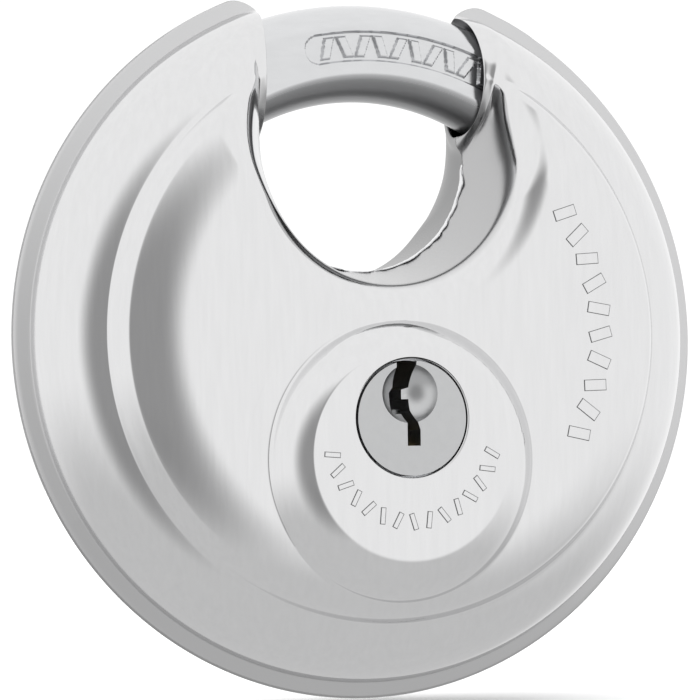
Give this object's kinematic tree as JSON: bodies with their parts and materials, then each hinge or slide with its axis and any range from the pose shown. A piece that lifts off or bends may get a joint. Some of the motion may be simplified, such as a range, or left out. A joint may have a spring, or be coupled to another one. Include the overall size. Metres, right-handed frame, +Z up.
{
  "type": "disc padlock",
  "caption": "Round padlock of two pressed steel shells with a ring shackle that turns across a U-shaped throat, driven by a pin tumbler cylinder in a front boss.",
  "frame": {"origin": "middle of the shackle bar in the throat, where a hasp or chain carries the lock", "axes": "+Z up, from the disc's centre through the middle of the throat; the front face with the keyhole looks along -Y; X across the face"},
  "size_m": [0.07, 0.0244, 0.0683],
  "materials": {
    "polished_stainless": "bright polished stainless steel with a fine grain",
    "hardened_steel": "plated hardened steel, fine brushed",
    "plug_steel": "nickel-plated, turned face",
    "cast_zinc": "as-cast zinc alloy",
    "turned_brass": "turned brass",
    "spring_steel": "dark spring and screw steel"
  },
  "bodies": {
    "body": {"front_shell": "polished_stainless", "rear_shell": "polished_stainless", "core_block": "cast_zinc", "core_cover": "hardened_steel", "cover_screws": "spring_steel", "anti_drill_plate": "hardened_steel", "cylinder_housing": "turned_brass", "housing_dowel": "hardened_steel", "housing_set_screw": "spring_steel", "chamber_cover": "turned_brass", "pin_spring_1": "spring_steel", "pin_spring_2": "spring_steel", "pin_spring_3": "spring_steel", "pin_spring_4": "spring_steel", "pin_spring_5": "spring_steel"},
    "plug": {"plug": "plug_steel", "retaining_clip": "spring_steel", "drive_cam": "hardened_steel", "drive_pin": "hardened_steel"},
    "shackle": {"shackle": "hardened_steel", "drive_plate": "hardened_steel", "plate_rivets": "hardened_steel"},
    "key_pin_1": {"key_pin_1": "turned_brass"},
    "driver_pin_1": {"driver_pin_1": "turned_brass"},
    "key_pin_2": {"key_pin_2": "turned_brass"},
    "driver_pin_2": {"driver_pin_2": "turned_brass"},
    "key_pin_3": {"key_pin_3": "turned_brass"},
    "driver_pin_3": {"driver_pin_3": "turned_brass"},
    "key_pin_4": {"key_pin_4": "turned_brass"},
    "driver_pin_4": {"driver_pin_4": "turned_brass"},
    "key_pin_5": {"key_pin_5": "turned_brass"},
    "driver_pin_5": {"driver_pin_5": "turned_brass"}
  },
  "joints": [
    {"name": "shackle_turn", "type": "hinge", "parent": "body", "child": "shackle", "pos_m": [0, 0, -0.0276], "axis": [0, 1, 0], "range_deg": [0, 62]},
    {"name": "plug_turn", "type": "hinge", "parent": "body", "child": "plug", "pos_m": [0, 0, -0.0357], "axis": [0, 1, 0], "range_deg": [0, 158]},
    {"name": "key_pin_1_slide", "type": "slide", "parent": "plug", "child": "key_pin_1", "axis": [0, 0, 1], "range_m": [0, 0.0014]},
    {"name": "key_pin_2_slide", "type": "slide", "parent": "plug", "child": "key_pin_2", "axis": [0, 0, 1], "range_m": [0, 0.0014]},
    {"name": "key_pin_3_slide", "type": "slide", "parent": "plug", "child": "key_pin_3", "axis": [0, 0, 1], "range_m": [0, 0.0014]},
    {"name": "key_pin_4_slide", "type": "slide", "parent": "plug", "child": "key_pin_4", "axis": [0, 0, 1], "range_m": [0, 0.0014]},
    {"name": "key_pin_5_slide", "type": "slide", "parent": "plug", "child": "key_pin_5", "axis": [0, 0, 1], "range_m": [0, 0.0014]},
    {"name": "driver_pin_1_slide", "type": "slide", "parent": "body", "child": "driver_pin_1", "axis": [0, 0, -1], "range_m": [0, 0.0014], "stiffness_N_per_m": 150, "springref_m": -0.0012, "deforming": ["pin_spring_1"]},
    {"name": "driver_pin_2_slide", "type": "slide", "parent": "body", "child": "driver_pin_2", "axis": [0, 0, -1], "range_m": [0, 0.0014], "stiffness_N_per_m": 150, "springref_m": -0.0012, "deforming": ["pin_spring_2"]},
    {"name": "driver_pin_3_slide", "type": "slide", "parent": "body", "child": "driver_pin_3", "axis": [0, 0, -1], "range_m": [0, 0.0014], "stiffness_N_per_m": 150, "springref_m": -0.0012, "deforming": ["pin_spring_3"]},
    {"name": "driver_pin_4_slide", "type": "slide", "parent": "body", "child": "driver_pin_4", "axis": [0, 0, -1], "range_m": [0, 0.0014], "stiffness_N_per_m": 150, "springref_m": -0.0012, "deforming": ["pin_spring_4"]},
    {"name": "driver_pin_5_slide", "type": "slide", "parent": "body", "child": "driver_pin_5", "axis": [0, 0, -1], "range_m": [0, 0.0014], "stiffness_N_per_m": 150, "springref_m": -0.0012, "deforming": ["pin_spring_5"]}
  ],
  "couplings": [
    {"joint": "plug_turn", "follows": "shackle_turn", "ratio": 2.5484}
  ]
}
